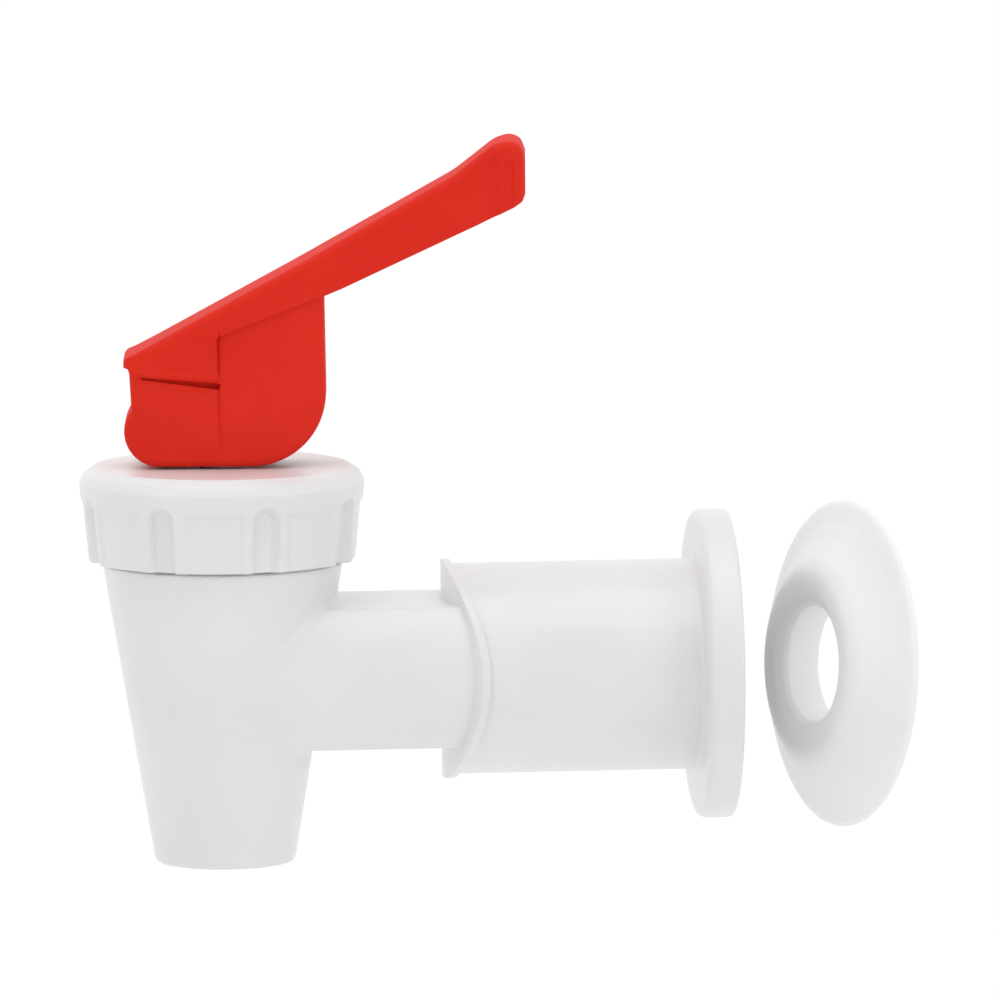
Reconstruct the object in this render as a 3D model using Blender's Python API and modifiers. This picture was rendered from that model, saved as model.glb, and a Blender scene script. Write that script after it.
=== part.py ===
"""Beverage dispenser spigot: a lever tap with a threaded socket and its domed sealing washer.

Metres, +Z up. The origin is the middle of the socket's mouth, on the barrel's axis and in the plane of the
flange's face. +X points out of the socket. The spout, bonnet and stem share a vertical axis at VALVE_X.
Every piece keeps GAP to the pieces that it touches. The fine threads are left out.
"""

import math

import bmesh
import bpy
from mathutils import Matrix

GAP = 0.0003
TURN_STEPS = 48
VALVE_X = -0.0686

# Body: cone and spout
CONE_TOP_R = 0.0162
CONE_TOP_Z = 0.0153
SPOUT_R = 0.0094
SPOUT_Z = -0.0256
SPOUT_EDGE = 0.0010
NECK_R = 0.0153
NECK_TOP_Z = 0.0225
CHAMBER_R = 0.0129
CHAMBER_STRAIGHT_Z = 0.0180
WALL = 0.0023
SEAT_FLOOR_Z = -0.0070
SEAT_TOP_Z = -0.0058
SEAT_BORE_R = 0.0060
SEAT_RIM = 0.0012
OUTLET_R = 0.0076

# Body: shank, barrel, flange and socket
SHANK_R = 0.0135
SHANK_FLAT_Z = 0.0096
PASSAGE_R = 0.0045
BARREL_R = 0.01424
BARREL_END_X = -0.0390
BARREL_ARC_R = 0.0290
LIP_R = 0.01485
LIP_WIDTH = 0.0012
FLANGE_R = 0.0209
FLANGE_THICK = 0.0048
FLANGE_EDGE = 0.0009
SOCKET_R = 0.00745
SOCKET_DEPTH = 0.0180
SOCKET_WALL = 0.0022
SHELL_WALL = 0.0020
CORE_DEPTH = 0.0300
RIB_WIDTH = 0.0016
RIB_PAIRS = 3

# Bonnet
BONNET_TOP_Z = 0.0283
BONNET_BOTTOM_Z = 0.0156
BONNET_FLAT_R = 0.0173
BONNET_R = 0.0192
BONNET_SHOULDER = 0.0020
BONNET_SKIRT_R = 0.0182
BONNET_ROOF = 0.0025
FLUTE_COUNT = 8
FLUTE_FIRST_DEG = -76.0
FLUTE_TOOL_R = 0.0042
FLUTE_DEPTH = 0.0008
FLUTE_TOP_DROP = 0.0040

# Stem, pin and spring
STEM_R = 0.0030
STEM_CLEARANCE = 0.0004
STEM_HEAD = 0.0032
PIN_Z = 0.0336
PIN_R = 0.0014
PIN_HALF = 0.0045
COLLAR_R = 0.0052
COLLAR_THICK = 0.0015
BUTTON_R = 0.0032
BUTTON_THICK = 0.0016
BUTTON_NECK_R = 0.0020
BUTTON_NECK = 0.0020
SPRING_R = 0.0043
WIRE_R = 0.00045
SPRING_TURNS = 8
SPRING_POINTS = 12

# Seat cup, slip ring and washers
CUP_RIM_R = 0.0150
CUP_RIM_THICK = 0.0015
CUP_WALL = 0.0012
PLUG_R = 0.0075
PLUG_TOP_Z = 0.0001
RING_INNER_R = 0.0116
FLAT_WASHER_THICK = 0.0020
DOME_RIM_R = 0.0221
DOME_RIM_THICK = 0.0010
DOME_HOLE_R = 0.0078
DOME_HEIGHT = 0.0061
DOME_CROWN_R = 0.0116
DOME_X = 0.0158
DOME_Z = -0.0004
DOME_TURN_DEG = 20.0
DOME_PITCH_DEG = 3.5

# Lever, in metres from the centre of the pin and before its turn on the stem
LEVER_TURN_DEG = -5.5
LEVER_HALF = 0.0061
BLOCK_STEP = 0.0003
FOOT_Z = BONNET_TOP_Z + GAP - PIN_Z
LOBE_X = -0.0087
LOBE_R = 0.00435
HEEL_X = 0.0050
HEEL_R = 0.0091
ARM_ROUND = 0.0020
ARM_ROOF = 0.0024
PAD_HALF = 0.0064
PAD_X = 0.0400
PAD_START_X = 0.0350
NARROW_HALF = 0.0050
SKIRT_X = -0.0004
SKIRT_Z = 0.0072
LEVER_EDGE = 0.0006
SLOT_LEFT = -0.0085
HEEL_WALL = 0.0027
CHANNEL_HALF = 0.0032
CHANNEL_END_X = 0.0365
PIN_SEAT = 0.0014
RECESS_DEPTH = 0.0009

ARM_UPPER = [
    (-0.0130, 0.0082), (-0.0115, 0.0101), (0.0111, 0.0223), (0.0316, 0.0338), (0.0349, 0.0362),
    (0.0368, 0.0377), (0.0379, 0.0385), (0.0391, 0.0388), (0.0404, 0.0384), (0.0411, 0.0374),
]
ARM_LOWER = [
    (0.0412, 0.0313), (0.0409, 0.0307), (0.0403, 0.0303), (0.0390, 0.0296), (0.0350, 0.0275),
    (0.0162, 0.0189), (HEEL_X + HEEL_R - 0.0002, 0.0180), (SKIRT_X, 0.0126), (SKIRT_X, SKIRT_Z),
    (-0.0124, SKIRT_Z),
]
ARM_WIDTHS = [
    (0.0140, LEVER_HALF), (0.0345, NARROW_HALF), (0.0370, NARROW_HALF + 0.0002), (PAD_X, PAD_HALF),
]


def new_collection(name):
    found = bpy.data.collections.new(name)
    bpy.context.scene.collection.children.link(found)
    return found


def clear_scene():
    for obj in list(bpy.data.objects):
        bpy.data.objects.remove(obj, do_unlink=True)


def new_material(name, colour, roughness, metallic=0.0):
    made = bpy.data.materials.new(name)
    made.use_nodes = True
    shader = made.node_tree.nodes["Principled BSDF"]
    shader.inputs["Base Color"].default_value = (*colour, 1.0)
    shader.inputs["Roughness"].default_value = roughness
    shader.inputs["Metallic"].default_value = metallic
    return made


def finish(obj, collection, material):
    """Links a piece, gives it its material and shades it smooth between its edges."""
    collection.objects.link(obj)
    obj.data.materials.append(material)
    obj.data.shade_smooth()
    return obj


def helper(obj, collection):
    """Links a cutter or a joined-on shape, which isn't a piece of its own."""
    collection.objects.link(obj)
    obj.hide_render = True
    obj.display_type = "WIRE"
    return obj


def combine(obj, tool, operation):
    step = obj.modifiers.new(tool.name, "BOOLEAN")
    step.operation = operation
    step.solver = "EXACT"
    step.object = tool


def arc(centre, radius, start_deg, end_deg, count):
    """Points of a round stretch, with both ends, as (across, up) pairs."""
    points = []
    for i in range(count):
        angle = math.radians(start_deg + (end_deg - start_deg) * i / (count - 1))
        points.append((centre[0] + radius * math.cos(angle), centre[1] + radius * math.sin(angle)))
    return points


def turned(name, profile, closed=False, steps=TURN_STEPS):
    """A shape turned about its own Z from (radius, height) pairs that run down the outer side."""
    last = len(profile) - 1
    edges = [(i, i + 1) for i in range(last)]
    if closed:
        edges.append((last, 0))
    mesh = bpy.data.meshes.new(name)
    mesh.from_pydata([(radius, 0.0, height) for radius, height in profile], edges, [])
    obj = bpy.data.objects.new(name, mesh)
    turn = obj.modifiers.new("turn", "SCREW")
    turn.steps = steps
    turn.render_steps = steps
    turn.use_merge_vertices = True
    turn.merge_threshold = 0.000001
    turn.use_smooth_shade = True
    return obj


def disc(name, radius, bottom, top, steps=TURN_STEPS):
    """A plain cylinder on its own Z."""
    return turned(name, [(0.0, top), (radius, top), (radius, bottom), (0.0, bottom)], steps=steps)


def box(name, low, high):
    bm = bmesh.new()
    bmesh.ops.create_cube(bm, size=1.0)
    size = [b - a for a, b in zip(low, high)]
    middle = [(a + b) / 2 for a, b in zip(low, high)]
    bmesh.ops.scale(bm, vec=size, verts=bm.verts)
    bmesh.ops.translate(bm, vec=middle, verts=bm.verts)
    mesh = bpy.data.meshes.new(name)
    bm.to_mesh(mesh)
    bm.free()
    return bpy.data.objects.new(name, mesh)


def plate(name, outline, half_width):
    """A closed XZ outline as a solid plate, as thick to both sides of the XZ plane."""
    curve = bpy.data.curves.new(name, "CURVE")
    curve.dimensions = "2D"
    curve.fill_mode = "BOTH"
    curve.extrude = half_width
    spline = curve.splines.new("POLY")
    spline.points.add(len(outline) - 1)
    for point, (across, up) in zip(spline.points, outline):
        point.co = (across, up, 0.0, 1.0)
    spline.use_cyclic_u = True
    drawn = bpy.data.objects.new(name, curve)
    bpy.context.scene.collection.objects.link(drawn)
    graph = bpy.context.evaluated_depsgraph_get()
    mesh = bpy.data.meshes.new_from_object(drawn.evaluated_get(graph))
    mesh.transform(Matrix.Rotation(math.radians(90.0), 4, "X"))
    bpy.data.objects.remove(drawn)
    bm = bmesh.new()
    bm.from_mesh(mesh)
    bmesh.ops.remove_doubles(bm, verts=bm.verts, dist=0.000001)
    bmesh.ops.recalc_face_normals(bm, faces=bm.faces)
    bm.to_mesh(mesh)
    bm.free()
    return bpy.data.objects.new(name, mesh)


def lay_along_x(obj):
    """Turns a shape made on its own Z to lie on the barrel's axis, its top towards +X."""
    obj.rotation_euler = (0.0, math.radians(90.0), 0.0)
    return obj


def cone_radius(height):
    share = (CONE_TOP_Z - height) / (CONE_TOP_Z - SPOUT_Z)
    return CONE_TOP_R + (SPOUT_R - CONE_TOP_R) * share


def between(pairs, value):
    """Straight-line reading of a table of (place, amount) pairs, held flat past its ends."""
    for (low, first), (high, second) in zip(pairs, pairs[1:]):
        if value <= high:
            share = max(0.0, (value - low) / (high - low))
            return first + (second - first) * share
    return pairs[-1][1]


def body_cone():
    """Outer shape on the vertical axis: neck for the bonnet, cone and spout."""
    edge = arc((SPOUT_R - SPOUT_EDGE, SPOUT_Z + SPOUT_EDGE), SPOUT_EDGE, -5.0, -90.0, 5)
    profile = [
        (0.0, NECK_TOP_Z), (NECK_R, NECK_TOP_Z), (NECK_R, CONE_TOP_Z),
        (CONE_TOP_R - SPOUT_EDGE / 2, CONE_TOP_Z), (CONE_TOP_R, CONE_TOP_Z - SPOUT_EDGE / 2),
        *edge, (0.0, SPOUT_Z),
    ]
    obj = turned("faucet_body", profile)
    obj.location.x = VALVE_X
    return obj


def body_shank(cutters):
    """Round bar with a wrench flat on top and below, from the valve's axis into the barrel."""
    shank = lay_along_x(disc("shank", SHANK_R, VALVE_X, BARREL_END_X + 0.008))
    flats = box("shank_flats", (VALVE_X - 0.01, -0.03, -SHANK_FLAT_Z), (0.0, 0.03, SHANK_FLAT_Z))
    helper(flats, cutters)
    combine(shank, flats, "INTERSECT")
    return helper(shank, cutters)


def body_barrel(cutters):
    """Barrel and flange: its free end bulges on a vertical arc, and a raised lip follows that end."""
    flange_left = -FLANGE_THICK
    profile = [
        (0.0, 0.0),
        *arc((FLANGE_R - FLANGE_EDGE, -FLANGE_EDGE), FLANGE_EDGE, 90.0, 0.0, 4),
        *arc((FLANGE_R - FLANGE_EDGE, flange_left + FLANGE_EDGE), FLANGE_EDGE, 0.0, -90.0, 4),
        (LIP_R, flange_left), (LIP_R, BARREL_END_X - 0.001), (0.0, BARREL_END_X - 0.001),
    ]
    barrel = lay_along_x(turned("barrel", profile))
    arc_x = BARREL_END_X + BARREL_ARC_R
    end = helper(disc("barrel_end", BARREL_ARC_R, -0.03, 0.03, 96), cutters)
    end.location.x = arc_x
    combine(barrel, end, "INTERSECT")
    inner = helper(disc("lip_edge", BARREL_ARC_R - LIP_WIDTH, -0.03, 0.03, 96), cutters)
    inner.location.x = arc_x
    far = BARREL_END_X - 0.002
    sleeve_profile = [(0.020, flange_left), (0.020, far), (BARREL_R, far), (BARREL_R, flange_left)]
    sleeve = lay_along_x(turned("lip_relief", sleeve_profile, closed=True))
    helper(sleeve, cutters)
    combine(sleeve, inner, "INTERSECT")
    combine(barrel, sleeve, "DIFFERENCE")
    return helper(barrel, cutters)


def body_chamber(cutters):
    """Valve chamber, raised seat and spout bore, as one turned cutter."""
    seat_outer = SEAT_BORE_R + SEAT_RIM
    profile = [
        (0.0, NECK_TOP_Z + 0.002), (CHAMBER_R, NECK_TOP_Z + 0.002), (CHAMBER_R, CHAMBER_STRAIGHT_Z),
        (cone_radius(SEAT_FLOOR_Z) - WALL, SEAT_FLOOR_Z), (seat_outer + 0.0003, SEAT_FLOOR_Z),
        (seat_outer, SEAT_TOP_Z), (SEAT_BORE_R + 0.0002, SEAT_TOP_Z), (SEAT_BORE_R, SEAT_TOP_Z - 0.0004),
        (OUTLET_R, SPOUT_Z - 0.001), (0.0, SPOUT_Z - 0.001),
    ]
    obj = turned("chamber", profile)
    obj.location.x = VALVE_X
    return helper(obj, cutters)


def body_socket(cutters):
    """Threaded socket and the water passage behind it."""
    profile = [
        (0.0, 0.001), (SOCKET_R, 0.001), (SOCKET_R, -SOCKET_DEPTH), (PASSAGE_R, -SOCKET_DEPTH),
        (PASSAGE_R, VALVE_X + 0.006), (0.0, VALVE_X + 0.006),
    ]
    return helper(lay_along_x(turned("socket", profile, steps=48)), cutters)


def body_cores(cutters):
    """The hollow ring between socket and barrel, open at the flange and crossed by ribs."""
    inner = SOCKET_R + SOCKET_WALL
    outer = BARREL_R - SHELL_WALL
    profile = [(outer, 0.001), (outer, -CORE_DEPTH), (inner, -CORE_DEPTH), (inner, 0.001)]
    ring = lay_along_x(turned("cores", profile, closed=True, steps=48))
    for i in range(RIB_PAIRS):
        half = RIB_WIDTH / 2
        rib = box(f"rib_{i}", (-CORE_DEPTH - 0.001, -half, -0.02), (0.002, half, 0.02))
        rib.rotation_euler = (math.pi * i / RIB_PAIRS, 0.0, 0.0)
        helper(rib, cutters)
        combine(ring, rib, "DIFFERENCE")
    return helper(ring, cutters)


def make_body(pieces, cutters, white):
    """Spout, cone, shank, barrel and flange, moulded as one."""
    body = finish(body_cone(), pieces, white)
    combine(body, body_shank(cutters), "UNION")
    combine(body, body_barrel(cutters), "UNION")
    combine(body, body_chamber(cutters), "DIFFERENCE")
    combine(body, body_socket(cutters), "DIFFERENCE")
    combine(body, body_cores(cutters), "DIFFERENCE")


def flute_tool(index, cutters):
    """A round-topped vertical bar that cuts one flute, leaning with the skirt."""
    top = BONNET_TOP_Z - FLUTE_TOP_DROP
    dome = arc((0.0, -FLUTE_TOOL_R), FLUTE_TOOL_R, 90.0, 0.0, 6)
    tool = turned(f"flute_{index}", [*dome, (FLUTE_TOOL_R, -0.020), (0.0, -0.020)], steps=32)
    lean = math.atan2(BONNET_R - BONNET_SKIRT_R, BONNET_TOP_Z - BONNET_SHOULDER - BONNET_BOTTOM_Z)
    angle = math.radians(FLUTE_FIRST_DEG) + index * 2 * math.pi / FLUTE_COUNT
    reach = BONNET_R + FLUTE_TOOL_R - FLUTE_DEPTH
    spin = Matrix.Rotation(angle, 4, "Z")
    tilt = Matrix.Rotation(lean, 4, "Y")
    tool.matrix_world = (
        Matrix.Translation((VALVE_X, 0.0, 0.0)) @ spin @ Matrix.Translation((reach, 0.0, top)) @ tilt
    )
    return helper(tool, cutters)


def make_bonnet(pieces, cutters, white):
    """Fluted screw cap with a hole in its roof for the stem."""
    hole = STEM_R + STEM_CLEARANCE
    inside = NECK_R + GAP
    roof_z = BONNET_TOP_Z - BONNET_ROOF
    shoulder_centre = (BONNET_R - BONNET_SHOULDER, BONNET_TOP_Z - BONNET_SHOULDER)
    shoulder = arc(shoulder_centre, BONNET_SHOULDER, 88.0, 0.0, 6)
    profile = [
        (hole, BONNET_TOP_Z), (BONNET_FLAT_R - 0.0004, BONNET_TOP_Z), *shoulder,
        (BONNET_SKIRT_R, BONNET_BOTTOM_Z), (inside, BONNET_BOTTOM_Z), (inside, roof_z), (hole, roof_z),
    ]
    bonnet = finish(turned("bonnet", profile, closed=True), pieces, white)
    bonnet.location.x = VALVE_X
    for index in range(FLUTE_COUNT):
        combine(bonnet, flute_tool(index, cutters), "DIFFERENCE")


def make_slip_ring(pieces, nylon):
    """Thin ring between the bonnet's roof and the rim of the seat cup."""
    top = BONNET_TOP_Z - BONNET_ROOF - GAP
    bottom = NECK_TOP_Z + GAP + CUP_RIM_THICK + GAP
    profile = [(RING_INNER_R, top), (CUP_RIM_R, top), (CUP_RIM_R, bottom), (RING_INNER_R, bottom)]
    ring = finish(turned("slip_ring", profile, closed=True, steps=36), pieces, nylon)
    ring.location.x = VALVE_X


def make_seat_cup(pieces, rubber):
    """Plug that closes the seat, with a thin cup wall up to the rim that the bonnet clamps."""
    rim_low = NECK_TOP_Z + GAP
    rim_top = rim_low + CUP_RIM_THICK
    wall_r = CHAMBER_R - GAP - 0.0002
    button_top = PLUG_TOP_Z + GAP - BUTTON_NECK + GAP
    button_low = button_top - BUTTON_THICK - 2 * GAP
    profile = [
        (0.0, button_low), (BUTTON_R + GAP, button_low), (BUTTON_R + GAP, button_top),
        (BUTTON_NECK_R + GAP, button_top), (BUTTON_NECK_R + GAP, PLUG_TOP_Z),
        (COLLAR_R + GAP, PLUG_TOP_Z), (COLLAR_R + GAP, PLUG_TOP_Z + 0.0028),
        (wall_r - CUP_WALL, rim_low - 0.0020), (wall_r - CUP_WALL, rim_top),
        (CUP_RIM_R, rim_top), (CUP_RIM_R, rim_low), (wall_r, rim_low), (wall_r, rim_low - 0.0018),
        (PLUG_R, PLUG_TOP_Z + 0.0020), (PLUG_R + 0.0002, SEAT_TOP_Z + 0.0010),
        (PLUG_R - 0.0004, SEAT_TOP_Z + GAP), (0.0, SEAT_TOP_Z + GAP),
    ]
    cup = finish(turned("seat_cup", profile, steps=36), pieces, rubber)
    cup.location.x = VALVE_X


def make_stem(pieces, cutters, nylon):
    """Stem with its head for the pin, collar for the spring and button for the seat cup."""
    collar_low = PLUG_TOP_Z + GAP
    collar_top = collar_low + COLLAR_THICK
    button_top = collar_low - BUTTON_NECK
    button_low = button_top - BUTTON_THICK
    head_top = PIN_Z + STEM_HEAD
    profile = [
        (0.0, head_top), (STEM_R - 0.0008, head_top), (STEM_R, head_top - 0.0008), (STEM_R, collar_top),
        (COLLAR_R, collar_top), (COLLAR_R, collar_low), (BUTTON_NECK_R, collar_low),
        (BUTTON_NECK_R, button_top), (BUTTON_R, button_top), (BUTTON_R, button_low), (0.0, button_low),
    ]
    stem = finish(turned("valve_stem", profile, steps=32), pieces, nylon)
    stem.location.x = VALVE_X
    hole = disc("stem_hole", PIN_R + GAP, -0.006, 0.006, 24)
    hole.rotation_euler = (math.radians(90.0), 0.0, math.radians(LEVER_TURN_DEG))
    hole.location = (VALVE_X, 0.0, PIN_Z)
    helper(hole, cutters)
    combine(stem, hole, "DIFFERENCE")


def make_pin(pieces, steel):
    """Cross pin through the stem, with its ends in the cheeks of the lever."""
    edge = 0.0003
    profile = [
        (0.0, PIN_HALF), (PIN_R - edge, PIN_HALF), (PIN_R, PIN_HALF - edge), (PIN_R, edge - PIN_HALF),
        (PIN_R - edge, -PIN_HALF), (0.0, -PIN_HALF),
    ]
    pin = finish(turned("handle_pin", profile, steps=24), pieces, steel)
    pin.rotation_euler = (math.radians(90.0), 0.0, math.radians(LEVER_TURN_DEG))
    pin.location = (VALVE_X, 0.0, PIN_Z)


def make_spring(pieces, steel):
    """Compression spring round the stem, from the collar to the bonnet's roof, with closed ends."""
    low = PLUG_TOP_Z + GAP + COLLAR_THICK + GAP + WIRE_R
    high = BONNET_TOP_Z - BONNET_ROOF - GAP - WIRE_R
    closed_rise = 2 * WIRE_R + GAP
    count = SPRING_TURNS * SPRING_POINTS
    curve = bpy.data.curves.new("return_spring", "CURVE")
    curve.dimensions = "3D"
    curve.bevel_depth = WIRE_R
    curve.bevel_resolution = 2
    curve.use_fill_caps = True
    spline = curve.splines.new("POLY")
    spline.points.add(count)
    rise = [
        (0.0, low), (1.0, low + closed_rise), (SPRING_TURNS - 1.0, high - closed_rise), (SPRING_TURNS, high),
    ]
    for i, point in enumerate(spline.points):
        turn = i / SPRING_POINTS
        angle = 2 * math.pi * turn
        point.co = (SPRING_R * math.cos(angle), SPRING_R * math.sin(angle), between(rise, turn), 1.0)
    spring = bpy.data.objects.new("return_spring", curve)
    spring.location.x = VALVE_X
    pieces.objects.link(spring)
    curve.materials.append(steel)


def make_socket_washer(pieces, rubber):
    """Flat seal at the bottom of the socket."""
    bottom = GAP - SOCKET_DEPTH
    outer = SOCKET_R - GAP
    inner = PASSAGE_R + 0.0002
    top = bottom + FLAT_WASHER_THICK
    profile = [(inner, top), (outer, top), (outer, bottom), (inner, bottom)]
    lay_along_x(finish(turned("socket_washer", profile, closed=True, steps=48), pieces, rubber))


def make_sealing_washer(pieces, rubber):
    """Domed washer, taken off: its crown faces the flange and its rim is turned a little towards the front."""
    ridge = DOME_CROWN_R
    crown = [
        (DOME_HOLE_R, DOME_HEIGHT - 0.0015), (DOME_HOLE_R + 0.0005, DOME_HEIGHT - 0.0010),
        (ridge - 0.0018, DOME_HEIGHT - 0.0003), (ridge, DOME_HEIGHT),
        (ridge + 0.0014, DOME_HEIGHT - 0.0003), (ridge + 0.0026, DOME_HEIGHT - 0.0011),
    ]
    flare = [
        (ridge + 0.0038, 0.0039), (ridge + 0.0054, 0.0027), (DOME_RIM_R - 0.0029, 0.0016),
        (DOME_RIM_R - 0.0007, DOME_RIM_THICK), (DOME_RIM_R, DOME_RIM_THICK * 0.8), (DOME_RIM_R, 0.0002),
        (DOME_RIM_R - 0.0002, 0.0), (DOME_HOLE_R, 0.0),
    ]
    washer = turned("sealing_washer", [*crown, *flare], closed=True)
    finish(washer, pieces, rubber)
    face_back = Matrix.Rotation(math.radians(-90.0), 4, "Y")
    turn = Matrix.Rotation(math.radians(DOME_TURN_DEG), 4, "Z")
    pitch = Matrix.Rotation(math.radians(DOME_PITCH_DEG), 4, "Y")
    washer.matrix_world = Matrix.Translation((DOME_X, 0.0, DOME_Z)) @ turn @ pitch @ face_back


def below_arm(across, depth):
    """A point on the middle plane that lies this far below the arm's upper edge."""
    return (across, between(ARM_UPPER, across) - depth)


def lever_arm():
    """Arm, skirt and finger pad: a plate that narrows and flares along its length, with a rounded top."""
    arm = plate("lever_handle", [*ARM_UPPER, *ARM_LOWER], LEVER_HALF)
    for vertex in arm.data.vertices:
        vertex.co.y = math.copysign(between(ARM_WIDTHS, vertex.co.x), vertex.co.y)
    weights = arm.data.attributes.new("bevel_weight_edge", "FLOAT", "EDGE")
    for edge in arm.data.edges:
        first, second = (arm.data.vertices[index].co for index in edge.vertices)
        along_top = all(abs(end.z - between(ARM_UPPER, end.x)) < 0.00001 for end in (first, second))
        if along_top and first.y * second.y > 0 and max(first.x, second.x) < PAD_START_X:
            weights.data[edge.index].value = 1.0
    rounding = arm.modifiers.new("rounding", "BEVEL")
    rounding.limit_method = "WEIGHT"
    rounding.width = ARM_ROUND
    rounding.segments = 3
    return arm


def lever_block(cutters):
    """Cam block: a lobe on the left, a flat foot and a round heel on the right."""
    lobe = arc((LOBE_X, FOOT_Z + LOBE_R), LOBE_R, 136.0, 270.0, 9)
    heel = arc((HEEL_X, FOOT_Z + HEEL_R), HEEL_R, 270.0, 360.0, 10)
    right = HEEL_X + HEEL_R
    inside_arm = [
        below_arm(right, ARM_ROOF), below_arm(SLOT_LEFT, ARM_ROOF), (-0.0118, SKIRT_Z + LEVER_EDGE),
    ]
    block = helper(plate("cam_block", [*lobe, *heel, *inside_arm], LEVER_HALF - BLOCK_STEP), cutters)
    edge = block.modifiers.new("edge", "BEVEL")
    edge.width = LEVER_EDGE
    edge.segments = 2
    edge.limit_method = "ANGLE"
    edge.angle_limit = math.radians(50.0)
    return block


def recess_tool(cutters):
    """Slanting cut in both cheeks below the skirt, deepest at its inner upper corner."""
    slab = box("cheek_recess", (-0.0140, -0.0030, -0.0120), (0.0, 0.0, 0.0))
    corner = Matrix.Translation((SKIRT_X, RECESS_DEPTH + BLOCK_STEP - LEVER_HALF, SKIRT_Z))
    slant = Matrix.Rotation(math.radians(4.9), 4, "Z") @ Matrix.Rotation(math.radians(-5.9), 4, "X")
    slab.data.transform(corner @ slant)
    both = slab.modifiers.new("both", "MIRROR")
    both.use_axis = (False, True, False)
    both.merge_threshold = 0.00001
    return helper(slab, cutters)


def lever_hollows(cutters):
    """The stem's slot, the open underside of the arm, and the pin's blind holes with their lead-in ramps."""
    below = FOOT_Z - 0.002
    slot_half = STEM_R + STEM_CLEARANCE
    slot_right = HEEL_X + HEEL_R - HEEL_WALL
    slot = [
        (SLOT_LEFT, below), (slot_right, below),
        below_arm(slot_right, ARM_ROOF), below_arm(SLOT_LEFT, ARM_ROOF),
    ]
    channel_left = HEEL_X + HEEL_R + HEEL_WALL
    channel = [
        (channel_left, 0.0150), (CHANNEL_END_X, 0.0250), below_arm(CHANNEL_END_X, ARM_ROOF + 0.0006),
        below_arm(0.0316, ARM_ROOF), below_arm(channel_left, ARM_ROOF),
    ]
    bore = PIN_R + GAP
    ramp = [(-bore, below), (bore, below), (bore, 0.0), (-bore, 0.0)]
    holes = disc("pin_seats", bore, -slot_half - PIN_SEAT, slot_half + PIN_SEAT, 24)
    holes.rotation_euler = (math.radians(90.0), 0.0, 0.0)
    return [
        helper(plate("stem_slot", slot, slot_half), cutters),
        helper(plate("arm_channel", channel, CHANNEL_HALF), cutters),
        helper(plate("pin_ramp", ramp, slot_half + PIN_SEAT / 2), cutters),
        helper(holes, cutters),
    ]


def make_lever(pieces, cutters, red):
    """Red lever with its hollow underside, the slot for the stem and blind holes for the pin."""
    lever = finish(lever_arm(), pieces, red)
    block = lever_block(cutters)
    hollows = [recess_tool(cutters), *lever_hollows(cutters)]
    combine(lever, block, "UNION")
    for tool in hollows:
        combine(lever, tool, "DIFFERENCE")
    for obj in [lever, block, *hollows]:
        obj.location = (VALVE_X, 0.0, PIN_Z)
        obj.rotation_euler.z = math.radians(LEVER_TURN_DEG)


def main():
    clear_scene()
    pieces = new_collection("beverage_dispenser_spigot")
    cutters = new_collection("cutters")
    white = new_material("white_plastic", (0.80, 0.80, 0.79), 0.35)
    nylon = new_material("natural_nylon", (0.78, 0.77, 0.72), 0.45)
    red = new_material("red_plastic", (0.72, 0.035, 0.020), 0.40)
    rubber = new_material("white_silicone", (0.85, 0.85, 0.84), 0.50)
    steel = new_material("stainless_steel", (0.62, 0.61, 0.58), 0.30, 1.0)
    make_body(pieces, cutters, white)
    make_bonnet(pieces, cutters, white)
    make_slip_ring(pieces, nylon)
    make_seat_cup(pieces, rubber)
    make_stem(pieces, cutters, nylon)
    make_pin(pieces, steel)
    make_spring(pieces, steel)
    make_socket_washer(pieces, rubber)
    make_sealing_washer(pieces, rubber)
    make_lever(pieces, cutters, red)


main()
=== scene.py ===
import bmesh
import bpy
import math
from mathutils import Matrix, Vector


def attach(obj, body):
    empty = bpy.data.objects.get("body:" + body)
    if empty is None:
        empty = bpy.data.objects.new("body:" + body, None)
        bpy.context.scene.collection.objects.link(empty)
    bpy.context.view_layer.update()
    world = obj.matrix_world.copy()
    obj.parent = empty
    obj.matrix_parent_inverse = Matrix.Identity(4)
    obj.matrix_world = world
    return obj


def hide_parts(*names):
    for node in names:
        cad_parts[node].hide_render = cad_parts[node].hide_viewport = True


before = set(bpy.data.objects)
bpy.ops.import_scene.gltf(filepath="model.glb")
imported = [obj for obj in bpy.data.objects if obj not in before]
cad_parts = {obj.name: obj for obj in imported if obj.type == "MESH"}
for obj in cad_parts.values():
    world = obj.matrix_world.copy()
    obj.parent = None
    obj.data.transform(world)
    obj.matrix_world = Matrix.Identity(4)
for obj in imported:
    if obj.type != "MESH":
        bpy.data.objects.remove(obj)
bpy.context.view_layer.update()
valve = {"x": -0.0686, "pinZ": 0.0336}   # vertical axis of the spout, and the height of the lever's pin
print("frame loaded")


# small steps that every piece uses

def clearSelection():
    if bpy.context.mode != "OBJECT":
        bpy.ops.object.mode_set(mode="OBJECT")
    bpy.ops.object.select_all(action="DESELECT")


def openForEdit(piece):
    clearSelection()
    bpy.context.view_layer.objects.active = piece
    piece.select_set(True)
    bpy.ops.object.mode_set(mode="EDIT")
    bpy.ops.mesh.select_mode(type="EDGE")
    bpy.ops.mesh.select_all(action="DESELECT")


def pickEdges(piece, test):
    shape = bmesh.from_edit_mesh(piece.data)
    for edge in shape.edges:
        if test(edge):
            edge.select_set(True)
    bmesh.update_edit_mesh(piece.data)


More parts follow.
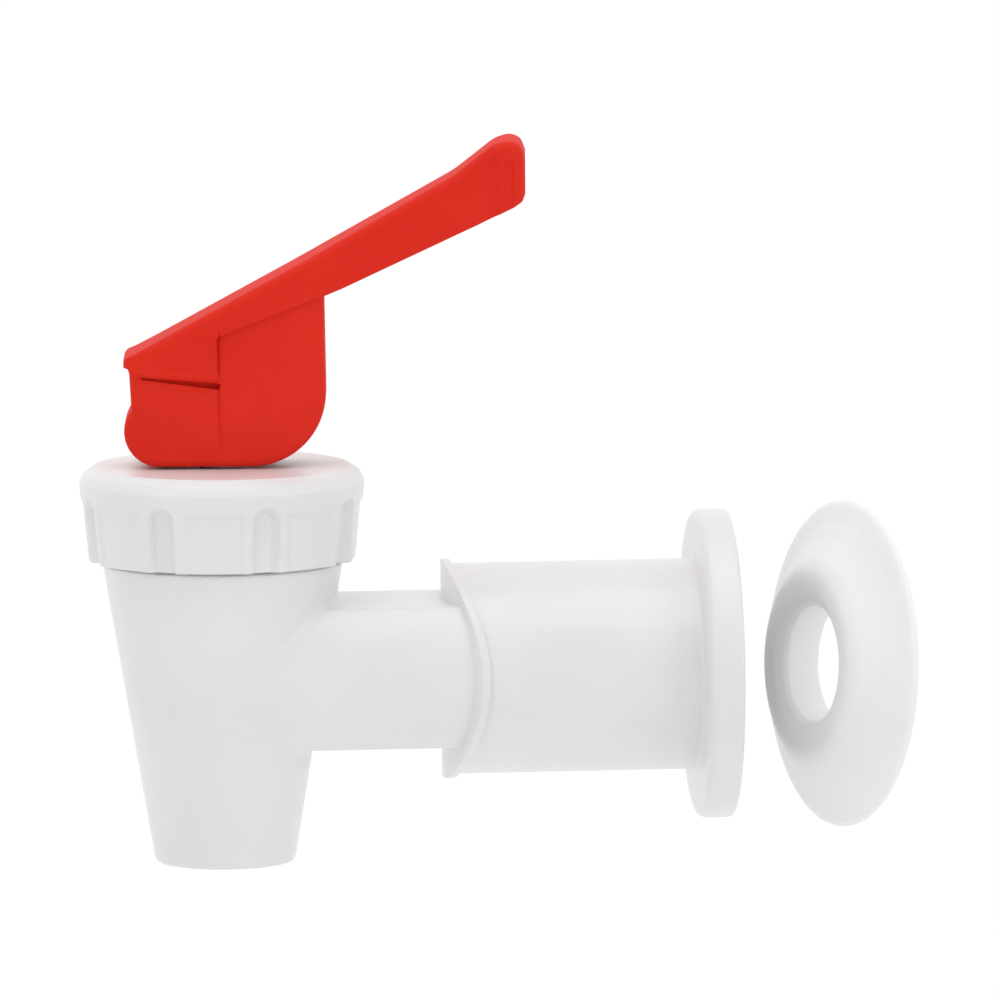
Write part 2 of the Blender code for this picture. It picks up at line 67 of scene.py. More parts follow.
def softLine(corners, closed=False, steps=5):
    # (across, up, roundness) corners become a line whose corners are that round
    line = []
    last = len(corners) - 1
    for i, (across, up, size) in enumerate(corners):
        here = Vector((across, up))
        if size == 0 or (not closed and i in (0, last)):
            line.append(here)
            continue
        before = Vector(corners[i - 1][:2]) - here
        after = Vector(corners[0 if i == last else i + 1][:2]) - here
        reach = size / math.tan(before.angle(after) / 2)
        reach = min(reach, before.length * 0.49, after.length * 0.49)
        start = here + before.normalized() * reach
        end = here + after.normalized() * reach
        for step in range(steps + 1):
            share = step / steps
            line.append(start.lerp(here, share).lerp(here.lerp(end, share), share))
    return line


def drawLine(name, line, closed=False):
    # one vertex, extruded from stop to stop in the XZ plane
    clearSelection()
    bpy.ops.mesh.primitive_plane_add(size=0.001, location=(0, 0, 0))
    piece = bpy.context.active_object
    piece.name = piece.data.name = name
    bpy.ops.object.mode_set(mode="EDIT")
    bpy.ops.mesh.select_mode(type="VERT")
    bpy.ops.mesh.select_all(action="SELECT")
    bpy.ops.mesh.merge(type="CENTER")
    bpy.ops.transform.translate(value=(line[0][0], 0, line[0][1]))
    stops = [*line[1:], line[0]] if closed else line[1:]
    here = line[0]
    for stop in stops:
        step = (stop[0] - here[0], 0, stop[1] - here[1])
        bpy.ops.mesh.extrude_region_move(TRANSFORM_OT_translate={"value": step})
        here = stop
    bpy.ops.mesh.select_all(action="SELECT")
    if closed:
        bpy.ops.mesh.remove_doubles(threshold=0.000002)
    return piece


def turnPiece(name, line, steps=96, closed=False, lying=False):
    # (radius, height) line spun round the spout's axis, or round the barrel's axis where it is lying
    if lying:
        drawn, centre, axis = [(height, radius) for radius, height in line], (0, 0, 0), (1, 0, 0)
    else:
        drawn = [(valve["x"] + radius, height) for radius, height in line]
        centre, axis = (valve["x"], 0, 0), (0, 0, 1)
    piece = drawLine(name, drawn, closed)
    bpy.ops.mesh.spin(steps=steps, angle=2 * math.pi, center=centre, axis=axis)
    bpy.ops.mesh.select_all(action="SELECT")
    bpy.ops.mesh.remove_doubles(threshold=0.000002)
    bpy.ops.mesh.normals_make_consistent(inside=False)
    bpy.ops.object.mode_set(mode="OBJECT")
    return piece


def platePiece(name, outline, halfWidth):
    # closed XZ outline, filled and extruded to both sides of the middle plane
    piece = drawLine(name, outline, closed=True)
    bpy.ops.mesh.edge_face_add()
    bpy.ops.transform.translate(value=(0, -halfWidth, 0))
    bpy.ops.mesh.extrude_region_move(TRANSFORM_OT_translate={"value": (0, 2 * halfWidth, 0)})
    bpy.ops.mesh.select_all(action="SELECT")
    bpy.ops.mesh.normals_make_consistent(inside=False)
    bpy.ops.object.mode_set(mode="OBJECT")
    return piece


def applyStep(piece, kind, **settings):
    clearSelection()
    bpy.context.view_layer.objects.active = piece
    piece.select_set(True)
    step = piece.modifiers.new("step", kind)
    for key, value in settings.items():
        setattr(step, key, value)
    bpy.ops.object.modifier_apply(modifier=step.name)


def joinShape(piece, tool, way):
    applyStep(piece, "BOOLEAN", operation=way, object=tool, solver="EXACT")
    bpy.data.objects.remove(tool)


def cutAway(piece, place, normal):
    # everything beyond a plane comes off, and the cut is closed
    openForEdit(piece)
    bpy.ops.mesh.select_all(action="SELECT")
    bpy.ops.mesh.bisect(plane_co=place, plane_no=normal, use_fill=True, clear_outer=True, threshold=0.0000002)
    bpy.ops.mesh.select_all(action="SELECT")
    bpy.ops.mesh.normals_make_consistent(inside=False)
    bpy.ops.object.mode_set(mode="OBJECT")


def roundEdges(piece, test, width, segments=4):
    openForEdit(piece)
    pickEdges(piece, test)
    bpy.ops.mesh.bevel(offset=width, segments=segments, affect="EDGES")
    bpy.ops.object.mode_set(mode="OBJECT")


def keepFlats(piece, area, angle=38):
    # smooth roundings between flats that stay flat, also where two of them meet at a shallow angle
    clearSelection()
    bpy.context.view_layer.objects.active = piece
    piece.select_set(True)
    bpy.ops.object.shade_smooth_by_angle(angle=math.radians(angle))
    openForEdit(piece)
    pickEdges(piece, lambda edge: len(edge.link_faces) == 2
              and min(face.calc_area() for face in edge.link_faces) > area and edge.calc_face_angle(0) > 0.06)
    bpy.ops.mesh.mark_sharp()
    bpy.ops.object.mode_set(mode="OBJECT")
    applyStep(piece, "WEIGHTED_NORMAL", mode="FACE_AREA_WITH_ANGLE", weight=90, keep_sharp=True)


def finishPiece(piece, body, material, nodes, angle=35):
    clearSelection()
    bpy.context.view_layer.objects.active = piece
    piece.select_set(True)
    bpy.ops.object.transform_apply(location=True, rotation=True, scale=True)
    if angle is not None:
        bpy.ops.object.shade_smooth_by_angle(angle=math.radians(angle))
    piece.data.materials.clear()
    piece.data.materials.append(material)
    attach(piece, body)
    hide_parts(*nodes)
    print(piece.name, "made with", len(piece.data.polygons), "faces")


def ease(low, high, value):
    share = min(1.0, max(0.0, (value - low) / (high - low)))
    return share * share * (3 - 2 * share)


# materials

def addNode(tree, kind, place, **values):
    node = tree.nodes.new(kind)
    node.location = place
    for key, value in values.items():
        node.inputs[key.replace("_", " ")].default_value = value
    return node


def buildMouldedSkin():
    # uneven skin of a moulding: slow tone drift and fine grain
    group = bpy.data.node_groups.new("mouldedSkin", "ShaderNodeTree")
    for name, value in {"Drift Scale": 60.0, "Grain Scale": 1500.0, "Grain": 0.3}.items():
        socket = group.interface.new_socket(name=name, in_out="INPUT", socket_type="NodeSocketFloat")
        socket.default_value = value
    for name in ("Tone", "Height"):
        group.interface.new_socket(name=name, in_out="OUTPUT", socket_type="NodeSocketFloat")
    start = addNode(group, "NodeGroupInput", (-800, 0))
    place = addNode(group, "ShaderNodeTexCoord", (-800, 200))
    drift = addNode(group, "ShaderNodeTexNoise", (-500, 200), Detail=3.0, Roughness=0.55)
    grain = addNode(group, "ShaderNodeTexNoise", (-500, -100), Detail=2.0, Roughness=0.5)
    share = addNode(group, "ShaderNodeMath", (-250, -100))
    share.operation = "MULTIPLY"
    total = addNode(group, "ShaderNodeMath", (-50, 0))
    total.operation = "ADD"
    end = addNode(group, "NodeGroupOutput", (200, 100))
    links = group.links
    links.new(place.outputs["Object"], drift.inputs["Vector"])
    links.new(place.outputs["Object"], grain.inputs["Vector"])
    links.new(start.outputs["Drift Scale"], drift.inputs["Scale"])
    links.new(start.outputs["Grain Scale"], grain.inputs["Scale"])
    links.new(grain.outputs["Fac"], share.inputs[0])
    links.new(start.outputs["Grain"], share.inputs[1])
    links.new(drift.outputs["Fac"], total.inputs[0])
    links.new(share.outputs[0], total.inputs[1])
    links.new(drift.outputs["Fac"], end.inputs["Tone"])
    links.new(total.outputs[0], end.inputs["Height"])
    return group


mouldedSkin = buildMouldedSkin()


def mouldedMaterial(name, dark, light, roughness, bump, drift=60.0, grain=0.3, gloss=0.5, glow=0.0):
    # plastic or rubber between two close tones, with roughness and bump from the same skin
    made = bpy.data.materials.new(name)
    made.use_nodes = True
    tree = made.node_tree
    shader = tree.nodes["Principled BSDF"]
    shader.inputs["Specular IOR Level"].default_value = gloss
    if glow > 0:
        shader.inputs["Subsurface Weight"].default_value = glow
        shader.inputs["Subsurface Radius"].default_value = (1.0, 0.95, 0.9)
        shader.inputs["Subsurface Scale"].default_value = 0.0030
    skin = addNode(tree, "ShaderNodeGroup", (-700, 0))
    skin.node_tree = mouldedSkin
    skin.inputs["Drift Scale"].default_value = drift
    skin.inputs["Grain"].default_value = grain
    tones = addNode(tree, "ShaderNodeValToRGB", (-450, 200))
    tones.color_ramp.elements[0].position = 0.35
    tones.color_ramp.elements[1].position = 0.65
    tones.color_ramp.elements[0].color = (*dark, 1)
    tones.color_ramp.elements[1].color = (*light, 1)
    sheen = addNode(tree, "ShaderNodeMapRange", (-450, -50))
    sheen.inputs["To Min"].default_value = roughness[0]
    sheen.inputs["To Max"].default_value = roughness[1]
    relief = addNode(tree, "ShaderNodeBump", (-250, -250), Strength=bump, Distance=0.0002)
    tree.links.new(skin.outputs["Tone"], tones.inputs["Fac"])
    tree.links.new(skin.outputs["Tone"], sheen.inputs["Value"])
    tree.links.new(skin.outputs["Height"], relief.inputs["Height"])
    tree.links.new(tones.outputs["Color"], shader.inputs["Base Color"])
    tree.links.new(sheen.outputs["Result"], shader.inputs["Roughness"])
    tree.links.new(relief.outputs["Normal"], shader.inputs["Normal"])
    return made


def drawnWire():
    # stainless wire and pin: fine lines and a little tarnish
    made = bpy.data.materials.new("drawnSteel")
    made.use_nodes = True
    tree = made.node_tree
    shader = tree.nodes["Principled BSDF"]
    shader.inputs["Metallic"].default_value = 1.0
    place = addNode(tree, "ShaderNodeTexCoord", (-900, 0))
    stretch = addNode(tree, "ShaderNodeMapping", (-700, 0))
    stretch.inputs["Scale"].default_value = (1.0, 0.15, 1.0)
    lines = addNode(tree, "ShaderNodeTexNoise", (-500, 0), Scale=2500.0, Detail=3.0)
    tones = addNode(tree, "ShaderNodeValToRGB", (-250, 150))
    tones.color_ramp.elements[0].color = (0.44, 0.43, 0.41, 1)
    tones.color_ramp.elements[1].color = (0.66, 0.65, 0.63, 1)
    sheen = addNode(tree, "ShaderNodeMapRange", (-250, -100))
    sheen.inputs["To Min"].default_value = 0.22
    sheen.inputs["To Max"].default_value = 0.42
    tree.links.new(place.outputs["Object"], stretch.inputs["Vector"])
    tree.links.new(stretch.outputs["Vector"], lines.inputs["Vector"])
    tree.links.new(lines.outputs["Fac"], tones.inputs["Fac"])
    tree.links.new(lines.outputs["Fac"], sheen.inputs["Value"])
    tree.links.new(tones.outputs["Color"], shader.inputs["Base Color"])
    tree.links.new(sheen.outputs["Result"], shader.inputs["Roughness"])
    return made


whitePlastic = mouldedMaterial("whitePlastic", (0.785, 0.785, 0.785), (0.815, 0.815, 0.815),
                               (0.26, 0.34), 0.05)
redPlastic = mouldedMaterial("redPlastic", (0.71, 0.020, 0.008), (0.75, 0.025, 0.012),
                             (0.60, 0.68), 0.06, gloss=0.15)
paleSilicone = mouldedMaterial("paleSilicone", (0.86, 0.86, 0.86), (0.89, 0.89, 0.885),
                               (0.42, 0.52), 0.04, gloss=0.4, glow=0.5)
naturalNylon = mouldedMaterial("naturalNylon", (0.66, 0.64, 0.57), (0.72, 0.70, 0.64),
                               (0.38, 0.48), 0.08)
drawnSteel = drawnWire()
print("materials made")


# body: spout and shank as one skin, barrel with its flange, then the hollows

bodySize = {
    "coneTop": (0.0162, 0.0153), "spout": (0.0094, -0.0256), "spoutEdge": 0.0011,
    "neck": (0.0153, 0.0225), "shankRadius": 0.0135, "shankFlat": 0.0096, "shankEdge": 0.0004,
    "shankEnd": -0.0330, "skinVoxel": 0.00034, "jointReach": 0.0011, "jointRepeats": 26,
    "barrel": 0.01424, "barrelEnd": -0.0390, "endArc": 0.0290, "lip": 0.01485, "lipWidth": 0.0012,
    "lipEdge": 0.00022, "shiftEnd": -0.0300, "flange": 0.0209, "flangeThick": 0.0048,
    "flangeBack": 0.0015, "flangeFace": 0.0007, "flangeRoot": 0.0006,
    "chamber": 0.0129, "chamberStraight": 0.0180, "wall": 0.0023, "seatFloor": -0.0070,
    "seatTop": -0.0058, "seatBore": 0.0060, "seatRim": 0.0012, "outlet": 0.0076,
    "passage": 0.0045, "socketDepth": 0.0180, "socketWall": 0.0022, "shellWall": 0.0020,
    "coreDepth": 0.0300, "ribWidth": 0.0016, "ribPairs": 3,
    "threadCrest": 0.00745, "threadRoot": 0.00800, "threadPitch": 0.0018, "threadTurns": 11,
    "mouth": 0.00875,
}


def coneRadius(height):
    size = bodySize
    share = (size["coneTop"][1] - height) / (size["coneTop"][1] - size["spout"][1])
    return size["coneTop"][0] + (size["spout"][0] - size["coneTop"][0]) * share


def shankGap(point):
    # how far a point lies outside the shank's section
    size = bodySize
    return max(math.hypot(point.y, point.z) - size["shankRadius"], abs(point.z) - size["shankFlat"])


def coneGap(point):
    return math.hypot(point.x - valve["x"], point.y) - coneRadius(point.z)


def makeSpoutSkin():
    size = bodySize
    top, spout = size["coneTop"], size["spout"]
    cone = turnPiece("faucetBody", softLine([
        (0, top[1], 0), (*top, 0.0005), (*spout, size["spoutEdge"]), (0, spout[1], 0)]), 128)
    shank = turnPiece("shank", [
        (0, valve["x"]), (size["shankRadius"], valve["x"]), (size["shankRadius"], size["shankEnd"]),
        (0, size["shankEnd"])], 160, lying=True)
    for side in (1, -1):          # the two wrench flats
        cutAway(shank, (0, 0, side * size["shankFlat"]), (0, 0, side))
    roundEdges(shank, lambda edge: all(
        abs(abs(v.co.z) - size["shankFlat"]) < 1e-6 for v in edge.verts)
        and abs(edge.verts[0].co.y - edge.verts[1].co.y) < 1e-6
        and abs(edge.verts[0].co.x - edge.verts[1].co.x) > 0.001, size["shankEdge"], 3)
    joinShape(cone, shank, "UNION")
    applyStep(cone, "REMESH", mode="VOXEL", voxel_size=size["skinVoxel"], use_smooth_shade=True)
    openForEdit(cone)             # the fillet where the shank leaves the cone
    shape = bmesh.from_edit_mesh(cone.data)
    for vertex in shape.verts:
        away = max(abs(shankGap(vertex.co)), abs(coneGap(vertex.co)))
        vertex.select = away < size["jointReach"] and vertex.co.x > valve["x"]
    bmesh.update_edit_mesh(cone.data)
    bpy.ops.mesh.select_mode(type="VERT")
    bpy.ops.mesh.vertices_smooth(factor=0.5, repeat=size["jointRepeats"])
    bpy.ops.object.mode_set(mode="OBJECT")
    return cone


def makeBarrel():
    size = bodySize
    end, lip, width = size["barrelEnd"], size["lip"], size["lipWidth"]
    bore, depth = size["threadCrest"] - 0.0002, 0.0003 - size["socketDepth"]
    cap = [(radius * 0.001, end, 0) for radius in (0, 2, 4, 6, 8, 10, 12, 13.8)]
    barrel = turnPiece("barrel", softLine([
        *cap, (lip, end, size["lipEdge"]), (lip, end + width, size["lipEdge"]),
        (size["barrel"], end + width, size["lipEdge"]), (size["barrel"], size["shiftEnd"], 0),
        (size["barrel"], -size["flangeThick"], size["flangeRoot"]),
        (size["flange"], -size["flangeThick"], size["flangeBack"]),
        (size["flange"], 0, size["flangeFace"]), (size["mouth"], 0, 0.0002), (bore, bore - size["mouth"], 0),
        (bore, depth, 0), (0, depth, 0)]), 144, lying=True)
    for vertex in barrel.data.vertices:   # the free end follows a vertical arc
        share = 1 - ease(end + width + 0.0002, size["shiftEnd"], vertex.co.x)
        bulge = size["endArc"] - math.sqrt(size["endArc"] ** 2 - min(vertex.co.y ** 2, 0.0003))
        vertex.co.x += bulge * share
    return barrel


def makeThreadTool():
    # a coarse screw shape that leaves the socket's thread when it is cut out
    size = bodySize
    pitch, crest, root = size["threadPitch"], size["threadCrest"], size["threadRoot"]
    start = -size["socketDepth"] - 1.6 * pitch
    tool = drawLine("socketThread", [
        (start, root), (start + pitch * 0.22, root), (start + pitch * 0.44, crest),
        (start + pitch * 0.78, crest), (start + pitch, root)])
    bpy.ops.object.mode_set(mode="OBJECT")
    applyStep(tool, "SCREW", axis="X", angle=2 * math.pi, steps=48, render_steps=48,
              screw_offset=pitch, iterations=size["threadTurns"] + 2)
    openForEdit(tool)             # each turn meets the next
    bpy.ops.mesh.select_all(action="SELECT")
    bpy.ops.mesh.remove_doubles(threshold=0.000005)
    bpy.ops.object.mode_set(mode="OBJECT")
    cutAway(tool, (0.0008, 0, 0), (1, 0, 0))
    cutAway(tool, (-size["socketDepth"], 0, 0), (-1, 0, 0))
    return tool


def makeCores():
    size = bodySize
    inner, outer = size["threadCrest"] + size["socketWall"], size["barrel"] - size["shellWall"]
    ring = turnPiece("cores", [(outer, 0.001), (outer, -size["coreDepth"]), (inner, -size["coreDepth"]),
                               (inner, 0.001)], 96, closed=True, lying=True)
    for i in range(size["ribPairs"]):
        clearSelection()
        bpy.ops.mesh.primitive_cube_add(size=1, location=(-0.0150, 0, 0),
                                        scale=(0.034, size["ribWidth"], 0.04))
        rib = bpy.context.active_object
        rib.rotation_euler.x = math.pi * i / size["ribPairs"]
        joinShape(ring, rib, "DIFFERENCE")
    return ring


def makeBody():
    size = bodySize
    body = makeSpoutSkin()
    print("spout and shank made with", len(body.data.polygons), "faces")
    joinShape(body, makeBarrel(), "UNION")
    print("barrel joined")
    neck = turnPiece("neck", softLine([
        (0, size["neck"][1], 0), (*size["neck"], 0.0004), (size["neck"][0], size["coneTop"][1] - 0.001, 0),
        (0, size["coneTop"][1] - 0.001, 0)]), 128)
    joinShape(body, neck, "UNION")
    seatOuter = size["seatBore"] + size["seatRim"]
    chamber = turnPiece("chamber", softLine([
        (0, size["neck"][1] + 0.002, 0), (size["chamber"], size["neck"][1] + 0.002, 0),
        (size["chamber"], size["chamberStraight"], 0),
        (coneRadius(size["seatFloor"]) - size["wall"], size["seatFloor"], 0.0010),
        (seatOuter + 0.0003, size["seatFloor"], 0.0002), (seatOuter, size["seatTop"], 0.0003),
        (size["seatBore"], size["seatTop"], 0.0003), (size["outlet"], size["spout"][1] - 0.001, 0),
        (0, size["spout"][1] - 0.001, 0)]), 96)
    joinShape(body, chamber, "DIFFERENCE")
    joinShape(body, makeThreadTool(), "DIFFERENCE")
    passage = turnPiece("passage", [
        (0, -size["socketDepth"] + 0.001), (size["passage"], -size["socketDepth"] + 0.001),
        (size["passage"], valve["x"] + 0.006), (0, valve["x"] + 0.006)], 64, lying=True)
    joinShape(body, passage, "DIFFERENCE")
    joinShape(body, makeCores(), "DIFFERENCE")
    finishPiece(body, "body", whitePlastic, ["faucet_body"], 40)


makeBody()


# bonnet: a turned cap whose skirt is pushed in at eight flutes and at the panels between them

bonnetSize = {
    "top": 0.0283, "bottom": 0.0156, "hole": 0.0034, "flat": 0.0172, "radius": 0.0192,
    "shoulder": 0.0021, "skirt": 0.0182, "inside": 0.0156, "roof": 0.0025, "bottomEdge": 0.0007,
    "fluteCount": 8, "firstFlute": -76.0, "fluteHalf": 0.0017, "fluteDepth": 0.0011,
    "fluteTop": 0.0243, "fluteSoft": 0.00045, "frameHalf": 0.0033, "panelDepth": 0.00034,
    "panelTop": 0.0236, "panelSoft": 0.0003, "ringStep": 0.00024,
}


def makeBonnet():
    size = bonnetSize
    low, high = size["bottom"] + 0.0009, size["top"] - size["shoulder"] - 0.0004
    rings = int((high - low) / size["ringStep"])
    slope = (size["radius"] - size["skirt"]) / (high - size["bottom"])
    skirt = []
    for i in range(rings + 1):
        height = high + (low - high) * i / rings
        skirt.append((size["radius"] - slope * (high - height), height, 0))
    bonnet = turnPiece("bonnetCap", softLine([
        (size["hole"], size["top"], 0.0003), (size["flat"], size["top"], 0.0004),
        (size["radius"] - 0.0006, size["top"] - 0.0009, 0.0006),
        (size["radius"], size["top"] - size["shoulder"], 0.0008),
        *skirt, (size["skirt"], size["bottom"], size["bottomEdge"]), (size["inside"], size["bottom"], 0.0002),
        (size["inside"], size["top"] - size["roof"], 0), (size["hole"], size["top"] - size["roof"], 0.0002),
    ], closed=True), 432, closed=True)
    pitch = 2 * math.pi / size["fluteCount"]
    for vertex in bonnet.data.vertices:
        across, depth = vertex.co.x - valve["x"], vertex.co.y
        radius = math.hypot(across, depth)
        if radius < size["skirt"] - 0.0012:
            continue
        angle = math.atan2(depth, across) - math.radians(size["firstFlute"])
        turn = (angle + pitch / 2) % pitch - pitch / 2
        aside = abs(turn) * radius
        above = max(0.0, vertex.co.z - (size["fluteTop"] - size["fluteHalf"]))
        distance = math.hypot(aside, above)
        half = size["fluteHalf"]
        flute = 1 - ease(half - size["fluteSoft"], half + size["fluteSoft"] * 0.7, distance)
        soft = size["panelSoft"]
        panel = ease(size["frameHalf"] - soft, size["frameHalf"] + soft, aside)
        panel *= 1 - ease(size["panelTop"] - soft, size["panelTop"] + soft, vertex.co.z)
        sink = flute * size["fluteDepth"] + panel * size["panelDepth"]
        vertex.co.x = valve["x"] + across * (radius - sink) / radius
        vertex.co.y = depth * (radius - sink) / radius
    finishPiece(bonnet, "body", whitePlastic, ["bonnet"], 40)


makeBonnet()


# lever: arm and finger pad from cross sections, and the cam block, all measured from the pin

leverSize = {
    "turn": -5.5, "half": 0.0061, "blockHalf": 0.0057, "padHalf": 0.0064, "topEdge": 0.0013,
    "lowEdge": 0.00045, "skirtBead": (0.0006, 0.00020), "armBead": (0.00042, 0.00013), "blockEdge": 0.0011,
    "foot": -0.0050, "lobe": (-0.0082, 0.0048), "heel": (0.0042, 0.0100), "skirtX": -0.0001,
    "skirtZ": (0.0073, 0.0063), "slotHalf": 0.0034, "slotLeft": -0.0085, "slotRight": 0.0110,
    "channelHalf": 0.0032, "pinBore": 0.0017, "pinDepth": 0.0048, "recess": 0.00035,
    "undercut": 0.0019, "undercutTall": (0.0003, 0.0009), "lineX": 0.00013, "lineRadius": 0.00019,
    "lineEnds": (-0.0018, 0.0060),
    "dentX": 0.0390, "dentTop": 0.0362, "dentRadius": 0.0009, "dentDepth": 0.00042,
}

armTop = [     # (across, up, roundness) from the pin
    (-0.0130, 0.0095, 0), (-0.0127, 0.0099, 0.0004), (-0.0113, 0.0105, 0.0006), (0.0111, 0.0226, 0.0100),
    (0.0316, 0.0341, 0.0060), (0.0370, 0.0383, 0.0040), (0.0391, 0.0388, 0.0020), (0.0406, 0.0383, 0.0016),
    (0.0412, 0.0368, 0),
]
armLow = [
    (-0.0130, 0.0085, 0), (-0.0124, 0.0084, 0.0001), (-0.0121, 0.0074, 0.0001), (-0.0006, 0.0064, 0.0002),
    (-0.0001, 0.0067, 0), (0.0000, 0.0126, 0), (0.0139, 0.0180, 0.0010), (0.0162, 0.0189, 0.0060),
    (0.0350, 0.0275, 0.0060), (0.0396, 0.0298, 0.0012), (0.0408, 0.0306, 0.0008), (0.0412, 0.0316, 0),
]
armHalf = [
    (-0.0130, 0.0050, 0), (-0.0126, 0.0060, 0.0004), (-0.0110, 0.0061, 0.0004), (0.0140, 0.0061, 0.0400),
    (0.0350, 0.0050, 0.0040), (0.0367, 0.0051, 0.0020), (0.0382, 0.0062, 0.0014), (0.0392, 0.0064, 0.0016),
    (0.0407, 0.0063, 0.0012), (0.0412, 0.0051, 0),
]
armStops = [     # millimetres across from the pin
    -13.0, -12.93, -12.8, -12.65, -12.5, -12.4, -12.3, -12.2, -12.1, -11.9, -11.6, -11.2, -10.6, -9.8,
    -8.8, -7, -5, -3, -1.6, -0.9, -0.6, -0.45, -0.33, -0.22, -0.14, -0.1, 0.0, 0.4, 2, 5, 8, 10, 12,
    13.3, 14.5, 16.5, 18.5, 20, 22, 24, 26, 28, 30, 31, 32, 33, 33.6, 34.2, 34.6, 35, 35.4, 35.7, 36,
    36.25, 36.5, 36.7, 36.9, 37.1, 37.3, 37.5, 37.7, 37.9, 38.1, 38.3, 38.5, 38.7, 38.95, 39.2, 39.45,
    39.7, 39.9, 40.1, 40.3, 40.45, 40.6, 40.72, 40.84, 40.94, 41.03, 41.1, 41.15, 41.2,
]


def roundArc(centre, radius, start, end, count):
    points = []
    for i in range(count):
        angle = math.radians(start + (end - start) * i / (count - 1))
        points.append((centre[0] + radius * math.cos(angle), centre[1] + radius * math.sin(angle)))
    return points


def atPin(points):
    return [(valve["x"] + across, valve["pinZ"] + up) for across, up in points]


def valueAt(line, across):
    for before, after in zip(line, line[1:]):
        if across <= after.x:
            share = (across - before.x) / max(after.x - before.x, 0.0000001)
            return before.y + (after.y - before.y) * max(0.0, share)
    return line[-1].y


def armSection(across, top, low, half):
    # right half of the arm's cross section, from the middle of its top to the middle of its underside
    size = leverSize
    tall = top - low
    edge = size["lowEdge"] + (size["topEdge"] - size["lowEdge"]) * ease(-0.0126, -0.0080, across)
    edge = min(edge, tall * 0.45, half * 0.5)
    if across < size["skirtX"] + 0.00005:
        seam, tuck = 0.0126 + across * 0.386, size["lowEdge"] * ease(-0.00055, -0.0001, across)
        foot, bead = size["skirtBead"][0], size["skirtBead"][1] * ease(-0.0118, -0.0095, across)
    else:
        seam, tuck = 0.0, 0.0
        foot, bead = size["armBead"][0], size["armBead"][1] * (1 - 0.7 * ease(0.0136, 0.0170, across))
    foot = min(foot, tall * 0.2)
    bead = min(bead, foot * 0.33)
    start = math.degrees(math.acos((foot - bead) / foot))
    crease = low + foot + foot * math.sin(math.radians(start)) + 0.00006
    seam = min(max(seam, crease + 0.0003), top - edge - 0.0001)
    outer = half - tuck
    points = [(0.0, top), *roundArc((half - edge, top - edge), edge, 90, 0, 8), (half, seam + 0.00008),
              (outer, seam - 0.00008), (outer, crease)]
    return [*points, *roundArc((outer + bead - foot, low + foot), foot, start, -90, 8), (0.0, low)]


def makeArm():
    # one ring of vertices, extruded from stop to stop and fitted to the section there
    top, low, half = (softLine(line, steps=8) for line in (armTop, armLow, armHalf))
    rings = []
    for stop in armStops:
        across = stop * 0.001
        section = armSection(across, *(valueAt(line, across) for line in (top, low, half)))
        rings.append([(valve["x"] + across, aside, valve["pinZ"] + up) for aside, up in
                      [*section, *[(-aside, up) for aside, up in section[-2:0:-1]]]])
    clearSelection()
    bpy.ops.mesh.primitive_circle_add(vertices=len(rings[0]), radius=0.001, fill_type="NGON",
                                      location=(0, 0, 0))
    arm = bpy.context.active_object
    arm.name = arm.data.name = "leverHandle"
    bpy.ops.object.mode_set(mode="EDIT")
    bpy.ops.mesh.select_mode(type="VERT")
    bpy.ops.mesh.select_all(action="SELECT")
    for i, ring in enumerate(rings):
        if i > 0:
            bpy.ops.mesh.extrude_region()
        shape = bmesh.from_edit_mesh(arm.data)
        moved = sorted((vertex for vertex in shape.verts if vertex.select), key=lambda vertex: vertex.index)
        for vertex, place in zip(moved, ring):
            vertex.co = place
        bmesh.update_edit_mesh(arm.data)
    bpy.ops.mesh.select_all(action="SELECT")
    bpy.ops.mesh.remove_doubles(threshold=0.000001)
    bpy.ops.mesh.normals_make_consistent(inside=False)
    bpy.ops.object.mode_set(mode="OBJECT")
    return arm


def makeBlock():
    size = leverSize
    lobeX, lobeR = size["lobe"]
    heelX, heelR = size["heel"]
    outline = [
        *roundArc((lobeX, size["foot"] + lobeR), lobeR, 142, 270, 20),
        *roundArc((heelX, size["foot"] + heelR), heelR, 270, 356, 24),
        (0.0140, 0.0184), (0.0139, 0.0205), (-0.0085, 0.0095), (-0.0123, 0.0088)]
    block = platePiece("block", atPin(outline), size["blockHalf"])
    roundEdges(block, lambda edge: abs(edge.verts[0].co.y - edge.verts[1].co.y) < 1e-6,
               size["blockEdge"], 5)
    return block


def wedgePiece(name, corners, side):
    # slab between two slanting faces, from eight corners of a cube
    clearSelection()
    bpy.ops.mesh.primitive_cube_add(size=1, location=(0, 0, 0))
    piece = bpy.context.active_object
    piece.name = piece.data.name = name
    for vertex in piece.data.vertices:
        left, near, low = vertex.co.x < 0, vertex.co.y < 0, vertex.co.z < 0
        across, aside, up = corners[(left, near, low)]
        vertex.co = (valve["x"] + across, side * aside, valve["pinZ"] + up)
    openForEdit(piece)
    bpy.ops.mesh.select_all(action="SELECT")
    bpy.ops.mesh.normals_make_consistent(inside=False)
    bpy.ops.object.mode_set(mode="OBJECT")
    return piece


def makeRecess(side):
    # slanting cut below the skirt, deepest at its inner upper corner
    size = leverSize
    left, right, low = -0.0140, size["skirtX"] + 0.0001, -0.0040
    face, deep = size["blockHalf"], size["recess"]
    leftTop, rightTop = size["skirtZ"][0] - 0.0001, size["skirtZ"][1] - 0.0001
    return wedgePiece("recess", {
        (True, True, False): (left, face + 0.002, leftTop),
        (False, True, False): (right, face + 0.002, rightTop),
        (True, False, False): (left, face + 0.0001, leftTop),
        (False, False, False): (right, face - deep, rightTop),
        (True, True, True): (left, face + 0.002, low), (False, True, True): (right, face + 0.002, low),
        (True, False, True): (left, face + 0.0008, low), (False, False, True): (right, face, low)}, side)


